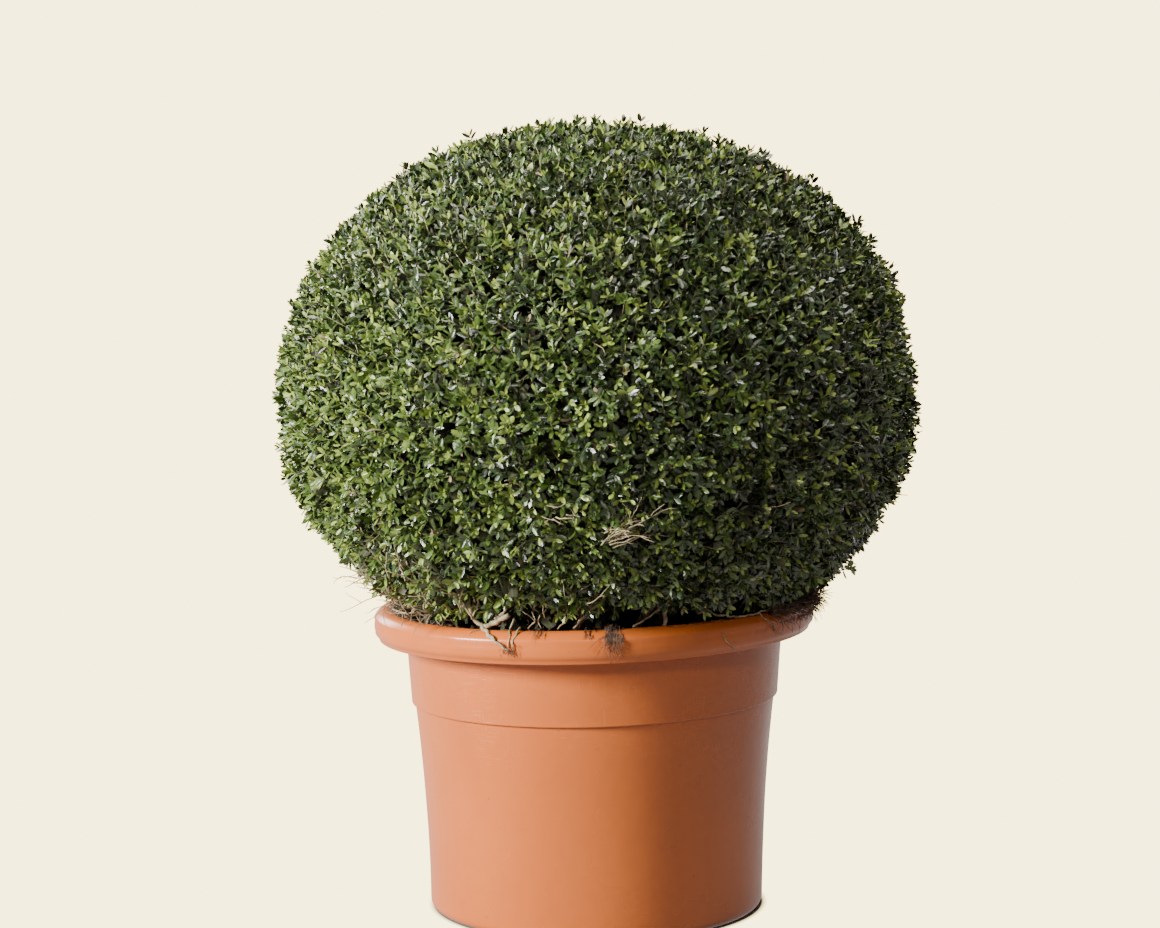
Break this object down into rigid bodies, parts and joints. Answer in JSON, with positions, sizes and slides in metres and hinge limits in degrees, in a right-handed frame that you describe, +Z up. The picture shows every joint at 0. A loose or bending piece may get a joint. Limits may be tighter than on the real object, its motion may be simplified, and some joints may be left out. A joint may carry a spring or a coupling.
{
  "type": "potted box topiary ball",
  "caption": "Evergreen box shrub clipped to a dense ball, its short stems rising from the compost of a terracotta-coloured moulded tub with a rolled rim.",
  "frame": {"origin": "centre of the pot's flat underside, on the surface it stands on", "axes": "+Z up along the pot's axis, -Y towards the front, +X to the right as seen from the front"},
  "size_m": [0.7982, 0.7981, 0.9795],
  "materials": {
    "pot_plastic": "satin terracotta-coloured moulded plastic",
    "compost": "dark fibrous potting compost",
    "bark": "pale greyish tan bark, finely cracked",
    "leaves": "small glossy evergreen leaves"
  },
  "bodies": {
    "root": {"pot": "pot_plastic", "root_ball": "compost", "trunk": "bark", "bough_centre": "bark", "bough_left": "bark", "bough_right": "bark", "bough_front": "bark", "bough_back": "bark", "stem_front_left": "bark", "stem_front_middle": "bark", "stem_front_right": "bark", "stem_front_stub": "bark", "stem_right": "bark", "stem_back_right": "bark", "stem_back_left": "bark", "stem_left": "bark", "crown": "leaves"}
  },
  "joints": []
}
